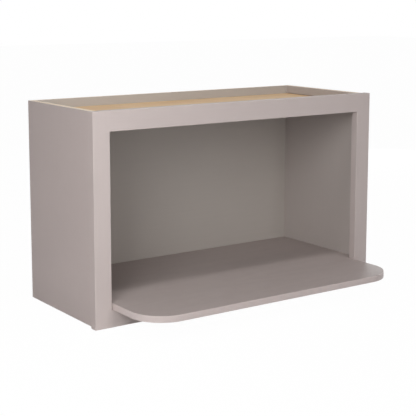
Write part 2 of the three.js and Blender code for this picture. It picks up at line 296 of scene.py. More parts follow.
class Effects:
    """The surface effects that several finishes share.

    A stretch shortens the vector along the grain, so that what is read there comes out long.
    """

    FIGURE_STRETCH = (0.16, 1.0, 1.0)
    FIBRE_STRETCH = (0.03, 1.0, 1.0)
    PORE_STRETCH = (0.08, 1.0, 1.0)
    PORES_PER_FIBRE = 3.0
    PORE_DEPTH = 0.6
    PLY_SWAY = 0.3

    def __init__(self) -> None:
        """Builds each group once."""
        self.grain = self._board_grain()
        self.plies = self._ply_layers()
        self.film = self._paint_film()
        self.wear = self._edge_wear()
        self.dust = self._settled_dust()

    def _board_grain(self) -> Effect:
        """Grain of a flat-sawn board whose length lies along the vector's X.

        Returns:
            The finished effect.
        """
        takes = {"Figure Scale": 9.0, "Figure Lines": 9.0, "Fibre Scale": 260.0}
        effect = Effect("Board Grain", takes, ("Figure", "Fibres", "Pores", "Height"))
        wires, given = effect.wires, effect.given
        vector = given["Vector"]
        slow = wires.scaled(vector, self.FIGURE_STRETCH)
        hills = wires.noise(slow, given["Figure Scale"], detail=1.5, roughness=0.35)
        lines = wires.math("MULTIPLY", wires.math("MULTIPLY", hills, given["Figure Lines"]), math.tau)
        effect.put("Figure", wires.math("MULTIPLY_ADD", wires.math("SINE", lines), 0.5, 0.5))
        long = wires.scaled(vector, self.FIBRE_STRETCH)
        fibres = wires.noise(long, given["Fibre Scale"], detail=3.0, roughness=0.6)
        effect.put("Fibres", fibres)
        pore_scale = wires.math("MULTIPLY", given["Fibre Scale"], self.PORES_PER_FIBRE)
        dashes = wires.noise(wires.scaled(vector, self.PORE_STRETCH), pore_scale, detail=1.0)
        pores = wires.remap(dashes, low=0.62, high=0.72)
        effect.put("Pores", pores)
        effect.put("Height", wires.math("SUBTRACT", fibres, wires.math("MULTIPLY", pores, self.PORE_DEPTH)))
        return effect

    def _ply_layers(self) -> Effect:
        """Stacked veneers and their glue lines on a sawn plywood edge.

        Returns:
            The finished effect.
        """
        effect = Effect("Ply Layers", {"Across": 0.0, "Pitch": 1.4 * MM}, ("Layer", "Glue", "Fibre"))
        wires, given = effect.wires, effect.given
        waves = wires.noise(given["Vector"], scale=14.0)
        sway = wires.math("MULTIPLY_ADD", waves, self.PLY_SWAY, -self.PLY_SWAY / 2)
        place = wires.math("ADD", wires.math("DIVIDE", given["Across"], given["Pitch"]), sway)
        effect.put("Layer", wires.math("FLOORED_MODULO", wires.math("FLOOR", place), 2.0))
        middle = wires.math("ABSOLUTE", wires.math("SUBTRACT", wires.math("FRACT", place), 0.5))
        effect.put("Glue", wires.remap(middle, low=0.42, high=0.5))
        effect.put("Fibre", wires.noise(given["Vector"], scale=900.0, detail=3.0, roughness=0.65))
        return effect

    @staticmethod
    def _paint_film() -> Effect:
        """The fine pebbling of sprayed paint and its broad, faint changes of tone.

        Returns:
            The finished effect.
        """
        takes = {"Peel Scale": 700.0, "Cloud Scale": 5.0}
        effect = Effect("Paint Film", takes, ("Clouds", "Peel", "Gloss"))
        wires, given = effect.wires, effect.given
        vector = given["Vector"]
        effect.put("Clouds", wires.noise(vector, given["Cloud Scale"], detail=3.0, roughness=0.55))
        effect.put("Peel", wires.noise(vector, given["Peel Scale"], detail=1.0, roughness=0.4))
        effect.put("Gloss", wires.noise(vector, scale=38.0, detail=4.0, roughness=0.6))
        return effect

    @staticmethod
    def _masked(effect: Effect, where: Socket, patches: Socket) -> Effect:
        """Gives an effect its mask: a place, broken up by patches, times its amount.

        Args:
            effect: The effect.
            where: Where it can be, from 0 to 1.
            patches: What breaks it up, from 0 to 1.

        Returns:
            The finished effect.
        """
        both = effect.wires.math("MULTIPLY", where, patches)
        effect.put("Mask", effect.wires.math("MULTIPLY", both, effect.given["Amount"]))
        return effect

    def _edge_wear(self) -> Effect:
        """A broken-up line along the edges of a piece.

        Returns:
            The finished effect.
        """
        effect = Effect("Edge Wear", {"Reach": 1.2 * MM, "Amount": 0.5}, ("Mask",))
        wires, given = effect.wires, effect.given
        rounded = wires.add("ShaderNodeBevel", {"Radius": given["Reach"]}, samples=4).outputs[0]
        true = wires.add("ShaderNodeNewGeometry").outputs["Normal"]
        turn = wires.add("ShaderNodeVectorMath", {0: rounded, 1: true}, operation="DOT_PRODUCT")
        edge = wires.remap(turn.outputs["Value"], low=0.995, high=0.9)
        specks = wires.noise(given["Vector"], scale=120.0, detail=4.0, roughness=0.7)
        broken = wires.remap(specks, low=0.35, high=0.7)
        return self._masked(effect, edge, broken)

    def _settled_dust(self) -> Effect:
        """A thin veil on faces that look up.

        Returns:
            The finished effect.
        """
        effect = Effect("Settled Dust", {"Amount": 0.1}, ("Mask",))
        wires, given = effect.wires, effect.given
        normal = wires.add("ShaderNodeNewGeometry").outputs["Normal"]
        upward = wires.add("ShaderNodeSeparateXYZ", {0: normal}).outputs["Z"]
        drifts = wires.noise(given["Vector"], scale=26.0, detail=6.0, roughness=0.65)
        patches = wires.remap(drifts, low=0.3, high=0.75)
        return self._masked(effect, wires.remap(upward, low=0.7, high=0.98), patches)


# ---------------------------------------------------------------------------
# Finishes
# ---------------------------------------------------------------------------


@dataclass
class Surface:
    """A new material's wiring, its shader and its coordinates."""

    name: str
    effects: Effects
    material: Finish = field(init=False)
    wires: Wiring = field(init=False)
    shader: Node = field(init=False)
    place: Socket = field(init=False)

    def __post_init__(self) -> None:
        """Makes the material with its shader and output."""
        self.material = bpy.data.materials.new(self.name)
        self.wires = fresh_wiring(self.material)
        self.shader = self.wires.add("ShaderNodeBsdfPrincipled")
        self.wires.add("ShaderNodeOutputMaterial", {"Surface": self.shader.outputs[0]})
        self.place = self.wires.add("ShaderNodeTexCoord").outputs["Object"]

    def turned(self, grain: Grain) -> Socket:
        """The coordinates with the grain brought onto X."""
        feeds = {"Vector": self.place, "Rotation": grain.value}
        return self.wires.add("ShaderNodeMapping", feeds).outputs[0]

    def feed(self, title: str, value: object) -> None:
        """Sets or joins one of the shader's inputs."""
        self.wires.join(self.shader, title, value)

    def roughen(self, by: Socket, spread: float, least: float) -> None:
        """Gives the shader a roughness that a value from 0 to 1 raises."""
        self.feed("Roughness", self.wires.math("MULTIPLY_ADD", by, spread, least))

    def spotted(self, colour: Socket, mask: Socket, share: float, spot: Colour) -> Socket:
        """Lays a second colour over a first one where a mask says."""
        return self.wires.mix(self.wires.math("MULTIPLY", mask, share), colour, spot)

    def film(self, **scales: float) -> Sockets:
        """Places the paint film, whose scales are given as cloud_scale and peel_scale."""
        feeds = {name.replace("_", " ").title(): scale for name, scale in scales.items()}
        return self.effects.film.placed(self.wires, {"Vector": self.place, **feeds})

    def worn(self, colour: Socket, bare: Colour, reach: float, amount: float) -> Socket:
        """Lets a bare colour through along the edges, as far from them as its reach in metres."""
        feeds = {"Vector": self.place, "Reach": reach, "Amount": amount}
        return self.wires.mix(self.effects.wear.placed(self.wires, feeds)["Mask"], colour, bare)

    def dust(self, amount: float) -> Socket:
        """The mask of the dust that has settled on it."""
        return self.effects.dust.placed(self.wires, {"Vector": self.place, "Amount": amount})["Mask"]

    def bump(self, height: Socket, distance: float, before: Socket | None = None) -> Socket:
        """Adds a Bump node.

        Args:
            height: The height, from 0 to 1.
            distance: What a height of 1 stands for, in metres.
            before: The normal of an earlier Bump node.

        Returns:
            The normal's socket.
        """
        feeds = {"Height": height, "Distance": distance, "Strength": 1.0}
        if before is not None:
            feeds["Normal"] = before
        return self.wires.add("ShaderNodeBump", feeds).outputs[0]


@dataclass(frozen=True)
class Paint:
    """Satin sprayed paint over wood, whose grain shows through faintly."""

    name: str
    grain: Grain
    colour: Colour = srgb(180, 166, 163)
    worn: Colour = srgb(212, 203, 198)
    dusty: Colour = srgb(206, 202, 197)
    deep_tone: float = 0.955
    pale_tone: float = 1.035
    roughness: float = 0.48
    roughness_spread: float = 0.12
    dust_roughness: float = 0.8
    shine: float = 0.32
    streaks: float = 0.35
    bands: float = 0.0
    pore_share: float = 0.12
    figure_scale: float = 7.0
    figure_lines: float = 7.0
    grain_depth: float = 0.03 * MM
    peel_depth: float = 0.012 * MM
    wear_reach: float = 1.0 * MM
    wear_amount: float = 0.35
    dust_amount: float = 0.10

    def material(self, effects: Effects) -> Finish:
        """Builds the paint.

        Args:
            effects: The shared effects.

        Returns:
            The finished material.
        """
        surface = Surface(self.name, effects)
        wires = surface.wires
        feeds = {"Vector": surface.turned(self.grain), "Figure Scale": self.figure_scale}
        grain = effects.grain.placed(wires, {**feeds, "Figure Lines": self.figure_lines})
        film = surface.film()
        dust = surface.dust(self.dust_amount)
        deep, pale = toned(self.colour, self.deep_tone), toned(self.colour, self.pale_tone)
        colour = wires.mix(film["Clouds"], deep, pale)
        colour = wires.mix(wires.remap(grain["Fibres"], low=0.3, high=0.75, top=self.streaks), colour, deep)
        colour = surface.spotted(colour, grain["Figure"], self.bands, deep)
        colour = surface.spotted(colour, grain["Pores"], self.pore_share, deep)
        colour = surface.worn(colour, self.worn, self.wear_reach, self.wear_amount)
        surface.feed("Base Color", wires.mix(dust, colour, self.dusty))
        smoothest = self.roughness - self.roughness_spread / 2
        gloss = wires.math("MULTIPLY_ADD", film["Gloss"], self.roughness_spread, smoothest)
        surface.feed("Roughness", wires.math("ADD", gloss, wires.math("MULTIPLY", dust, self.dust_roughness)))
        surface.feed("Specular IOR Level", self.shine)
        normal = surface.bump(grain["Height"], self.grain_depth)
        surface.feed("Normal", surface.bump(film["Peel"], self.peel_depth, normal))
        return surface.material


@dataclass(frozen=True)
class Timber:
    """Bare or clear-coated wood with its figure, fibres and pores."""

    name: str
    grain: Grain
    light: Colour
    dark: Colour
    roughness: float
    dusty: Colour = srgb(214, 208, 198)
    warm_tones: Triple = (0.93, 0.87, 0.78)
    warm_share: float = 0.6
    brown_tone: float = 0.55
    roughness_spread: float = 0.14
    shine: float = 0.5
    coat: float = 0.0
    coat_roughness: float = 0.28
    figure_scale: float = 9.0
    figure_lines: float = 8.0
    figure_share: float = 0.5
    fibre_scale: float = 320.0
    fibre_share: float = 0.45
    pore_share: float = 0.22
    cloud_scale: float = 7.0
    grain_depth: float = 0.06 * MM
    wear_reach: float = 0.8 * MM
    wear_amount: float = 0.3
    dust_amount: float = 0.08
    saw_scale: float = 110.0
    saw_marks: float = 0.0

    def material(self, effects: Effects) -> Finish:
        """Builds the wood.

        Args:
            effects: The shared effects.

        Returns:
            The finished material.
        """
        surface = Surface(self.name, effects)
        wires = surface.wires
        vector = surface.turned(self.grain)
        feeds = {"Vector": vector, "Figure Scale": self.figure_scale, "Figure Lines": self.figure_lines}
        grain = effects.grain.placed(wires, {**feeds, "Fibre Scale": self.fibre_scale})
        film = surface.film(cloud_scale=self.cloud_scale)
        figure = wires.math("MULTIPLY", wires.remap(grain["Figure"], low=0.2, high=1.0), self.figure_share)
        fibres = wires.remap(grain["Fibres"], low=0.3, high=0.75)
        tone = wires.math("MULTIPLY_ADD", fibres, self.fibre_share, figure, clamp=True)
        warm, brown = toned(self.light, *self.warm_tones), toned(self.dark, self.brown_tone)
        colour = wires.mix(tone, self.light, self.dark)
        clouds = wires.remap(film["Clouds"], low=0.35, high=0.75, top=self.warm_share)
        colour = wires.mix(clouds, colour, warm)
        colour = surface.spotted(colour, grain["Pores"], self.pore_share, brown)
        colour = surface.worn(colour, brown, self.wear_reach, self.wear_amount)
        surface.feed("Base Color", wires.mix(surface.dust(self.dust_amount), colour, self.dusty))
        smoothest = self.roughness - self.roughness_spread / 2
        surface.roughen(grain["Fibres"], self.roughness_spread, smoothest)
        surface.feed("Specular IOR Level", self.shine)
        surface.feed("Coat Weight", self.coat)
        surface.feed("Coat Roughness", self.coat_roughness)
        normal = surface.bump(grain["Height"], self.grain_depth)
        if self.saw_marks:
            feeds = {"Vector": vector, "Scale": self.saw_scale, "Distortion": 1.2, "Detail": 2.0}
            ridges = wires.add("ShaderNodeTexWave", feeds).outputs[1]
            normal = surface.bump(ridges, self.saw_marks, normal)
        surface.feed("Normal", normal)
        return surface.material


@dataclass(frozen=True)
class PlyEdge:
    """The sawn edge of plywood, with its layers stacked in one direction."""

    name: str
    across: Across
    start: float
    pitch: float = 1.36 * MM
    light: Colour = srgb(254, 241, 225)
    dark: Colour = srgb(238, 217, 191)
    glue: Colour = srgb(158, 122, 90)
    layer_share: float = 0.55
    fibre_share: float = 0.3
    glue_share: float = 0.45
    roughness: float = 0.7
    roughness_spread: float = 0.16
    depth: float = 0.08 * MM
    wear_reach: float = 0.6 * MM
    wear_amount: float = 0.3

    def material(self, effects: Effects) -> Finish:
        """Builds the layered edge.

        Args:
            effects: The shared effects.

        Returns:
            The finished material.
        """
        surface = Surface(self.name, effects)
        wires = surface.wires
        split = wires.add("ShaderNodeSeparateXYZ", {0: surface.place})
        across = wires.math("SUBTRACT", split.outputs[self.across], self.start)
        plies = effects.plies.placed(wires, {"Vector": surface.place, "Across": across, "Pitch": self.pitch})
        fibres = wires.math("MULTIPLY", plies["Fibre"], self.fibre_share)
        tone = wires.math("MULTIPLY_ADD", plies["Layer"], self.layer_share, fibres)
        layers = wires.mix(tone, self.light, self.dark)
        colour = surface.spotted(layers, plies["Glue"], self.glue_share, self.glue)
        surface.feed("Base Color", surface.worn(colour, self.dark, self.wear_reach, self.wear_amount))
        surface.roughen(plies["Fibre"], self.roughness_spread, self.roughness)
        height = wires.math("SUBTRACT", plies["Fibre"], plies["Glue"])
        surface.feed("Normal", surface.bump(height, self.depth))
        return surface.material


@dataclass(frozen=True)
class ZincPlate:
    """Bright zinc plating on a steel screw."""

    name: str
    light: Colour = srgb(206, 208, 212)
    dull: Colour = srgb(150, 154, 160)
    worn: Colour = srgb(226, 227, 229)
    cloud_scale: float = 240.0
    peel_scale: float = 2600.0
    roughness: float = 0.18
    roughness_spread: float = 0.3
    depth: float = 0.01 * MM
    wear_reach: float = 0.35 * MM
    wear_amount: float = 0.7

    def material(self, effects: Effects) -> Finish:
        """Builds the plating.

        Args:
            effects: The shared effects.

        Returns:
            The finished material.
        """
        surface = Surface(self.name, effects)
        wires = surface.wires
        film = surface.film(cloud_scale=self.cloud_scale, peel_scale=self.peel_scale)
        colour = wires.mix(wires.remap(film["Clouds"], low=0.35, high=0.7), self.light, self.dull)
        surface.feed("Base Color", surface.worn(colour, self.worn, self.wear_reach, self.wear_amount))
        surface.feed("Metallic", 1.0)
        surface.roughen(film["Clouds"], self.roughness_spread, self.roughness)
        surface.feed("Normal", surface.bump(film["Peel"], self.depth))
        return surface.material


class Finishes:
    """Every material of the cabinet, built once and handed out by name."""

    INNER_TONES = {Grain.ALONG_X: srgb(182, 175, 169), Grain.ALONG_Z: srgb(181, 172, 168)}
    # Painted light: the frame's tone is a lighter copy of the taupe paint that the sides and shelf share,
    # standing in for the stronger light on the frame's front.
    FRAME_TONE = srgb(192, 180, 177)
    # Painted shade: the shelf's paint is a darker copy of the same taupe, standing in for the weaker light on
    # its top; its streaks and bands are grain.
    SHELF = Paint(
        "shelf_paint",
        Grain.ALONG_X,
        colour=srgb(167, 155, 152),
        streaks=0.6,
        bands=0.9,
        figure_scale=13.0,
        grain_depth=0.02 * MM,
    )
    # Lighter than the shelf: partly the strip's own colour and partly painted light on the edge that faces
    # the lamps.
    EDGE_STRIP = Paint(
        "taupe_edge_strip",
        Grain.ALONG_X,
        colour=srgb(196, 183, 180),
        roughness=0.38,
        grain_depth=0.004 * MM,
    )
    MAPLE = Timber(
        "maple_face",
        Grain.ALONG_X,
        light=srgb(232, 199, 157),
        dark=srgb(213, 173, 128),
        roughness=0.55,
        shine=0.25,
        coat=0.04,
        figure_scale=6.0,
        figure_share=0.35,
    )
    VENEER = Timber(
        "birch_veneer",
        Grain.ALONG_X,
        light=srgb(232, 214, 187),
        dark=srgb(211, 187, 154),
        roughness=0.62,
        figure_share=0.3,
    )

    def __init__(self, effects: Effects) -> None:
        """Builds the materials that several pieces share.

        Args:
            effects: The shared effects.
        """
        self.effects = effects
        self.outer_paint = Paint("outer_side_paint", Grain.ALONG_Z).material(effects)
        self.inner_paint = {
            grain: Paint(f"inner_paint_{grain.name.lower()}", grain, colour=tone).material(effects)
            for grain, tone in self.INNER_TONES.items()
        }
        # Painted light: the frame's paint, one copy for each grain, in the lighter lit tone.
        self.frame_paint = {
            grain: Paint(f"frame_paint_{grain.name.lower()}", grain, colour=self.FRAME_TONE).material(effects)
            for grain in (Grain.ALONG_X, Grain.ALONG_Z)
        }
        self.birch = {grain: self._sawn_birch(grain) for grain in Grain}
        shared = (self.SHELF, self.EDGE_STRIP, self.MAPLE, self.VENEER, ZincPlate("zinc_plate"))
        made = [finish.material(effects) for finish in shared]
        self.shelf_paint, self.edge_strip, self.maple, self.veneer, self.zinc = made

    def _sawn_birch(self, grain: Grain) -> Finish:
        """Bare birch with saw marks.

        Args:
            grain: The direction of its grain.

        Returns:
            The finished material.
        """
        birch = Timber(
            f"sawn_birch_{grain.name.lower()}",
            grain,
            light=srgb(228, 205, 170),
            dark=srgb(204, 174, 134),
            roughness=0.72,
            figure_scale=22.0,
            saw_marks=0.05 * MM,
        )
        return birch.material(self.effects)

    def ply_edge(self, name: str, across: Across, start: float) -> Finish:
        """A sawn plywood edge for one board, whose first layer begins at start."""
        return PlyEdge(name, across, start).material(self.effects)


# ---------------------------------------------------------------------------
# Solids
# ---------------------------------------------------------------------------


class Solids:
    """Makes closed meshes in their place, with the object at the origin.

    Edges that turn by more than the sharp angle, in radians, are rounded in a number of segments.
    """

    SHARP_ANGLE = 1.0
    BOARD_ROUNDING = 3
    RIM_ROUNDING = 2
    LEVEL_ERROR = 1e-9
    TURNED_SIDES = 20

    @staticmethod
    def object_of(mesh_data: Shape, name: str) -> Piece:
        """Turns a built mesh into an object of the scene.

        Args:
            mesh_data: The built mesh, which is freed.
            name: The object's name.

        Returns:
            The new object.
        """
        mesh = bpy.data.meshes.new(name)
        mesh_data.to_mesh(mesh)
        mesh_data.free()
        return in_scene(name, mesh)

    @classmethod
    def board(
        cls,
        low: Sequence[float],
        high: Sequence[float],
        radius: float = 0.0,
        levels: Sequence[float] = (),
        butts: Sequence[Box] = (),
    ) -> Shape:
        """A board with eased edges.

        Args:
            low: Its lowest corner.
            high: Its highest corner.
            radius: How far its edges are rounded.
            levels: Heights at which its upright edges are divided.
            butts: Boxes in which another board butts against it, where edges stay sharp.

        Returns:
            The closed mesh.
        """
        built = bmesh.new()
        bmesh.ops.create_cube(built, size=1.0)
        for vertex in built.verts:
            vertex.co = Vector(top if at > 0 else bottom for at, bottom, top in zip(vertex.co, low, high))
        for level in levels:
            whole = built.verts[:] + built.edges[:] + built.faces[:]
            bmesh.ops.bisect_plane(built, geom=whole, plane_co=(0, 0, level), plane_no=UP)
        if radius:
            sharp = [edge for edge in built.edges if edge.calc_face_angle(0.0) > cls.SHARP_ANGLE]
            eased = [edge for edge in sharp if not lies_in(edge, butts)]
            cls._round(built, eased, radius, cls.BOARD_ROUNDING)
        bmesh.ops.recalc_face_normals(built, faces=built.faces)
        return built

    @staticmethod
    def _round(built: Shape, edges: list, radius: float, segments: int) -> None:
        """Rounds some of a shape's edges."""
        bmesh.ops.bevel(built, geom=edges, offset=radius, segments=segments, profile=0.5, affect="EDGES")

    @classmethod
    def prism(cls, outline: Line, low: float, high: float, radius: float = 0.0) -> Shape:
        """An upright board cut to an outline.

        Args:
            outline: Points in X and Y, in order.
            low: Height of the under face.
            high: Height of the upper face.
            radius: How far the rims of both faces are rounded.

        Returns:
            The closed mesh.
        """
        built = bmesh.new()
        face = built.faces.new([built.verts.new((x, y, low)) for x, y in outline])
        lifted = bmesh.ops.extrude_face_region(built, geom=[face])["geom"]
        for item in lifted:
            if isinstance(item, bmesh.types.BMVert):
                item.co.z = high
        if radius:
            level = [
                edge
                for edge in built.edges
                if abs(edge.verts[0].co.z - edge.verts[1].co.z) < cls.LEVEL_ERROR
            ]
            cls._round(built, level, radius, cls.RIM_ROUNDING)
        bmesh.ops.recalc_face_normals(built, faces=built.faces)
        return built

    @classmethod
    def turned(cls, profile: Line, at: Vector, way: Vector) -> Shape:
        """A turned shape.

        Args:
            profile: Radius against distance along the axis, from one pole to the other.
            at: Where the distance is zero.
            way: The axis.

        Returns:
            The closed mesh.
        """
        built = bmesh.new()
        sides = cls.TURNED_SIDES
        rings = []
        for radius, along in profile:
            count = sides if radius > 0 else 1
            turns = [math.tau * step / count for step in range(count)]
            circle = [(radius * math.cos(turn), radius * math.sin(turn), along) for turn in turns]
            rings.append([built.verts.new(point) for point in circle])
        for near, far in zip(rings, rings[1:]):
            for step in range(sides):
                after = (step + 1) % sides
                corners = [near[step % len(near)], near[after % len(near)]]
                corners += [far[after % len(far)], far[step % len(far)]]
                built.faces.new(list(dict.fromkeys(corners)))
        place = Matrix.Translation(at) @ way.to_track_quat("Z", "Y").to_matrix().to_4x4()
        bmesh.ops.transform(built, matrix=place, verts=built.verts)
        bmesh.ops.recalc_face_normals(built, faces=built.faces)
        return built

    @classmethod
    def cut(cls, target: Piece, cutters: Iterable[Shape], zone: Zone) -> None:
        """Cuts shapes out of an object, one after another.

        Args:
            target: The object to cut.
            cutters: The shapes, which are freed.
            zone: The material slot that the cut surfaces get.
        """
        for cutter in cutters:
            for face in cutter.faces:
                face.material_index = zone
            tool = cls.object_of(cutter, "cutter")
            modifier = target.modifiers.new("cut", "BOOLEAN")
            modifier.operation = "DIFFERENCE"
            modifier.solver = "EXACT"
            modifier.object = tool
            keep_result(target)
            bpy.data.meshes.remove(tool.data)


def keep_result(piece: Piece) -> None:
    """Makes what a piece's modifiers give its plain mesh, and removes them.

    Args:
        piece: The piece.
    """
    graph = bpy.context.evaluated_depsgraph_get()
    mesh = bpy.data.meshes.new_from_object(piece.evaluated_get(graph))
    piece.modifiers.clear()
    old = piece.data
    piece.data = mesh
    bpy.data.meshes.remove(old)
    mesh.name = piece.name


def lies_in(edge: bmesh.types.BMEdge, boxes: Iterable[Box]) -> bool:
    """Tells whether an edge lies inside one of several boxes.

    Args:
        edge: The edge.
        boxes: Lowest and highest corners.

    Returns:
        True where both of its ends are in the same box.
    """
    return any(
        all(low <= at <= high for vertex in edge.verts for at, low, high in zip(vertex.co, *box))
        for box in boxes
    )


def merged(parts: Iterable[Shape]) -> Shape:
    """Puts shapes that don't touch into one mesh.

    Args:
        parts: The shapes, which are freed.

    Returns:
        One mesh that holds them all.
    """
    whole = bmesh.new()
    for part in parts:
        step = bpy.data.meshes.new("step")
        part.to_mesh(step)
        part.free()
        whole.from_mesh(step)
        bpy.data.meshes.remove(step)
    return whole


def numbered(stem: str, count: int) -> list[str]:
    """Names that end with a number, from 1."""
    return [f"{stem}_{number}" for number in range(1, count + 1)]


def geometry_tree(name: str, sizes: Sequence[str], others: dict[str, str]) -> Tree:
    """Makes an empty tree that takes and gives a geometry.

    Args:
        name: The tree's name.
        sizes: Names of its number inputs.
        others: Name of each further input against the end of its socket type.

    Returns:
        The tree.
    """
    tree = bpy.data.node_groups.new(name, "GeometryNodeTree")
    takes = {"Geometry": "Geometry", **dict.fromkeys(sizes, "Float"), **others, "Material": "Material"}
    for title, kind in takes.items():
        tree.interface.new_socket(title, in_out="INPUT", socket_type=f"NodeSocket{kind}")
    tree.interface.new_socket("Geometry", in_out="OUTPUT", socket_type="NodeSocketGeometry")
    return tree


def end_tree(wires: Wiring, given: Sockets, geometry: Socket) -> None:
    """Ends a geometry tree by making its copies real and giving them its material.

    Args:
        wires: The tree's wiring.
        given: The tree's inputs.
        geometry: What it made.
    """
    real = wires.add("GeometryNodeRealizeInstances", {0: geometry}).outputs[0]
    dressed = wires.add("GeometryNodeSetMaterial", {"Geometry": real, "Material": given["Material"]})
    wires.add("NodeGroupOutput", {"Geometry": dressed.outputs[0]})


def present(piece: Piece, nodes: Iterable[str]) -> None:
    """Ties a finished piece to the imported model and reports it.

    Args:
        piece: The finished piece.
        nodes: The solids that it stands for.
    """
    names = list(nodes)
    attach(piece, BODY)
    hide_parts(*names)
    LOG.info("%s: %d faces, for %s", piece.name, len(piece.data.polygons), ", ".join(names))


# ---------------------------------------------------------------------------
# Screws
# ---------------------------------------------------------------------------


@dataclass(frozen=True)
class HeadShape:
    """Radii of a head at its top, rim and underside, its depth and the shank's radius, in metres."""

    top: float
    rim: float
    under: float
    depth: float
    shank: float


class Head(Enum):
    """The two kinds of screw in the cabinet."""

    FLAT = HeadShape(3.8 * MM, 3.8 * MM, 1.75 * MM, 2.6 * MM, 1.75 * MM)
    PAN = HeadShape(3.9 * MM, 4.5 * MM, 4.5 * MM, 2.4 * MM, 1.95 * MM)


@dataclass(frozen=True)
class Screw:
    """One screw: the middle of its head's top, its direction and its length."""

    node: str
    kind: Head
    at: Vector
    way: Vector
    length: float
    open_length: float
    slack: float = 0.3 * MM

    @classmethod
    def of(cls, node: str, kind: Head, way: Sequence[float], open_length: float = 5 * MM) -> "Screw":
        """Reads a straight screw's place from its solid.

        Args:
            node: The solid's name.
            kind: The kind of screw.
            way: The direction it is driven in, along X, Y or Z.
            open_length: How far its hole is open behind the head.

        Returns:
            The screw.
        """
        low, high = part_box(node)
        direction = Vector(way)
        length = abs((high - low).dot(direction))
        return cls(node, kind, (low + high) / 2 - direction * length / 2, direction, length, open_length)

    def hole(self) -> Shape:
        """Makes the hole that the screw needs.

        Returns:
            The hole as a cutter.
        """
        shape, slack = self.kind.value, self.slack
        rim = shape.rim + slack
        profile = [(0.0, -self.open_length), (rim, -self.open_length), (rim, 0.0)]
        profile.append((shape.under + slack, shape.depth + slack))
        if shape.under > shape.shank:
            profile.append((shape.shank + slack, shape.depth + slack))
        profile += [(shape.shank + slack, self.length + slack), (0.0, self.length + slack)]
        return Solids.turned(profile, self.at, self.way)

    def reaches(self, box: Box) -> bool:
        """Tells whether the screw's hole comes near a board.

        Args:
            box: The board's lowest and highest corner.

        Returns:
            True where the hole's box and the board's box overlap.
        """
        ends = [self.at - self.way * self.open_length, self.at + self.way * self.length]
        room = self.kind.value.rim
        return all(
            min(a, b) - room < high and max(a, b) + room > low
            for a, b, low, high in zip(*ends, *box)
        )


